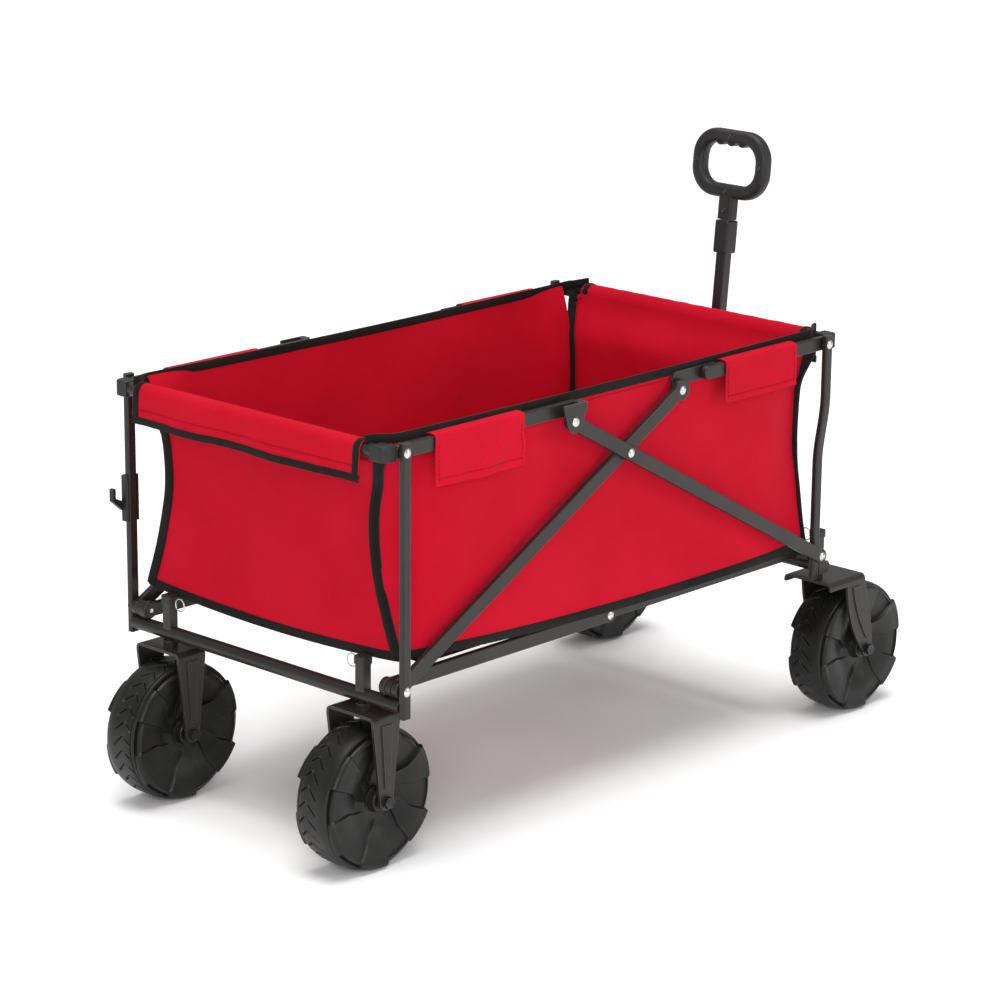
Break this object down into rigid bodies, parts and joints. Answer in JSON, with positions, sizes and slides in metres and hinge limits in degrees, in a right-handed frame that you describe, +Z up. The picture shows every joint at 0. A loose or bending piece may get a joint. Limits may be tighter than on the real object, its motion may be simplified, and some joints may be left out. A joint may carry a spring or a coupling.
{
  "type": "folding wagon with pull handle",
  "caption": "Folding utility wagon: fabric tub in a scissor-linked steel frame, fixed rear wheels, swivelling front casters and a telescoping pull handle.",
  "frame": {"origin": "on the ground, at the middle of the wagon's length and width", "axes": "+X forward to the pull handle, +Y to the wagon's left, +Z up"},
  "size_m": [1.178, 0.597, 0.8595],
  "materials": {
    "frame_steel": "satin dark charcoal powder coat on steel tube",
    "red_fabric": "red woven polyester with black binding tape",
    "wheel_plastic": "black moulded wheel plastic",
    "black_plastic": "black moulded plastic",
    "zinc_rivet": "bright zinc",
    "clip_wire": "plated spring wire",
    "black_bolt": "black oxide",
    "floor_board": "grey board sewn into the cloth"
  },
  "bodies": {
    "rear_frame": {"rear_post_left": "frame_steel", "rear_post_right": "frame_steel", "rear_cross_tube": "frame_steel", "rear_stem_sockets": "frame_steel", "rear_socket_caps": "black_plastic", "rear_hitch_clips": "clip_wire", "rear_post_pins": "zinc_rivet", "rear_pin_bushes": "black_plastic", "rear_fork_left": "frame_steel", "rear_fork_right": "frame_steel", "rear_axle_bolts": "black_bolt", "fold_latch": "black_plastic", "tub_end_rear": "red_fabric", "tub_sides": "red_fabric"},
    "cross_links_a": {"link_a_left": "frame_steel", "link_a_right": "frame_steel", "link_rivets": "zinc_rivet"},
    "cross_links_b": {"link_b_left": "frame_steel", "link_b_right": "frame_steel"},
    "front_frame": {"front_post_left": "frame_steel", "front_post_right": "frame_steel", "front_cross_tube": "frame_steel", "front_stem_sockets": "frame_steel", "front_socket_caps": "black_plastic", "front_hitch_clips": "clip_wire", "front_post_pins": "zinc_rivet", "front_pin_bushes": "black_plastic", "handle_bracket": "frame_steel", "handle_pivot_bolt": "black_bolt", "tub_end_front": "red_fabric"},
    "rear_top_rails": {"rear_rail_left": "frame_steel", "rear_rail_right": "frame_steel", "rear_top_tube": "frame_steel", "rear_elbows": "black_plastic", "rear_rail_knuckles": "black_plastic", "rear_rim_covers": "red_fabric"},
    "front_top_rails": {"front_rail_left": "frame_steel", "front_rail_right": "frame_steel", "front_top_tube": "frame_steel", "front_elbows": "black_plastic", "front_rim_covers": "red_fabric"},
    "rear_floor": {"floor_rail_rear_left": "frame_steel", "floor_rail_rear_right": "frame_steel", "floor_board_rear": "floor_board", "floor_hinge_rivets": "zinc_rivet"},
    "front_floor": {"floor_rail_front_left": "frame_steel", "floor_rail_front_right": "frame_steel", "floor_board_front": "floor_board"},
    "pull_handle": {"handle_tube": "frame_steel", "handle_collar": "black_plastic"},
    "handle_top": {"handle_inner_tube": "frame_steel", "handle_grip": "black_plastic"},
    "rear_wheel_left": {"rear_wheel_left": "wheel_plastic"},
    "rear_wheel_right": {"rear_wheel_right": "wheel_plastic"},
    "caster_left": {"caster_fork_left": "frame_steel", "caster_axle_bolt_left": "black_bolt"},
    "caster_right": {"caster_fork_right": "frame_steel", "caster_axle_bolt_right": "black_bolt"},
    "front_wheel_left": {"front_wheel_left": "wheel_plastic"},
    "front_wheel_right": {"front_wheel_right": "wheel_plastic"}
  },
  "joints": [
    {"name": "fold", "type": "hinge", "parent": "rear_frame", "child": "cross_links_a", "pos_m": [-0.489, 0, 0.263], "axis": [0, -1, 0], "range_deg": [0, 45], "deforming": ["tub_sides"]},
    {"name": "link_cross", "type": "hinge", "parent": "cross_links_a", "child": "cross_links_b", "pos_m": [-0.049, 0, 0.505], "axis": [0, -1, 0], "range_deg": [-90, 0]},
    {"name": "front_frame_level", "type": "hinge", "parent": "cross_links_b", "child": "front_frame", "pos_m": [0.391, 0, 0.263], "axis": [0, -1, 0], "range_deg": [0, 45]},
    {"name": "rear_rails_lift", "type": "hinge", "parent": "rear_frame", "child": "rear_top_rails", "pos_m": [-0.489, 0, 0.587], "axis": [0, -1, 0], "range_deg": [0, 73.58], "deforming": ["rear_rim_covers"]},
    {"name": "front_rails_lift", "type": "hinge", "parent": "front_frame", "child": "front_top_rails", "pos_m": [0.391, 0, 0.587], "axis": [0, -1, 0], "range_deg": [-73.58, 0], "deforming": ["front_rim_covers"]},
    {"name": "rear_floor_lift", "type": "hinge", "parent": "rear_frame", "child": "rear_floor", "pos_m": [-0.489, 0, 0.263], "axis": [0, -1, 0], "range_deg": [0, 71.5]},
    {"name": "front_floor_lift", "type": "hinge", "parent": "front_frame", "child": "front_floor", "pos_m": [0.391, 0, 0.263], "axis": [0, -1, 0], "range_deg": [-71.5, 0]},
    {"name": "handle_tilt", "type": "hinge", "parent": "front_frame", "child": "pull_handle", "pos_m": [0.436, 0, 0.25], "axis": [0, 1, 0], "range_deg": [0, 95]},
    {"name": "handle_slide", "type": "slide", "parent": "pull_handle", "child": "handle_top", "axis": [0.0958, 0, 0.9954], "range_m": [0, 0.25]},
    {"name": "caster_swivel_left", "type": "hinge", "parent": "front_frame", "child": "caster_left", "pos_m": [0.413, 0.247, 0.24], "axis": [0, 0, 1], "continuous": true},
    {"name": "front_wheel_spin_left", "type": "hinge", "parent": "caster_left", "child": "front_wheel_left", "pos_m": [0.489, 0.247, 0.1], "axis": [0, 1, 0], "continuous": true},
    {"name": "rear_wheel_spin_left", "type": "hinge", "parent": "rear_frame", "child": "rear_wheel_left", "pos_m": [-0.489, 0.192, 0.1], "axis": [0, 1, 0], "continuous": true},
    {"name": "caster_swivel_right", "type": "hinge", "parent": "front_frame", "child": "caster_right", "pos_m": [0.413, -0.247, 0.24], "axis": [0, 0, 1], "continuous": true},
    {"name": "front_wheel_spin_right", "type": "hinge", "parent": "caster_right", "child": "front_wheel_right", "pos_m": [0.489, -0.247, 0.1], "axis": [0, 1, 0], "continuous": true},
    {"name": "rear_wheel_spin_right", "type": "hinge", "parent": "rear_frame", "child": "rear_wheel_right", "pos_m": [-0.489, -0.192, 0.1], "axis": [0, 1, 0], "continuous": true}
  ],
  "couplings": [
    {"joint": "link_cross", "follows": "fold", "ratio": -2},
    {"joint": "front_frame_level", "follows": "fold", "ratio": 1},
    {"joint": "rear_rails_lift", "follows": "fold", "ratio": 1.634},
    {"joint": "front_rails_lift", "follows": "fold", "ratio": -1.634},
    {"joint": "rear_floor_lift", "follows": "fold", "ratio": 1.5877},
    {"joint": "front_floor_lift", "follows": "fold", "ratio": -1.5877}
  ]
}
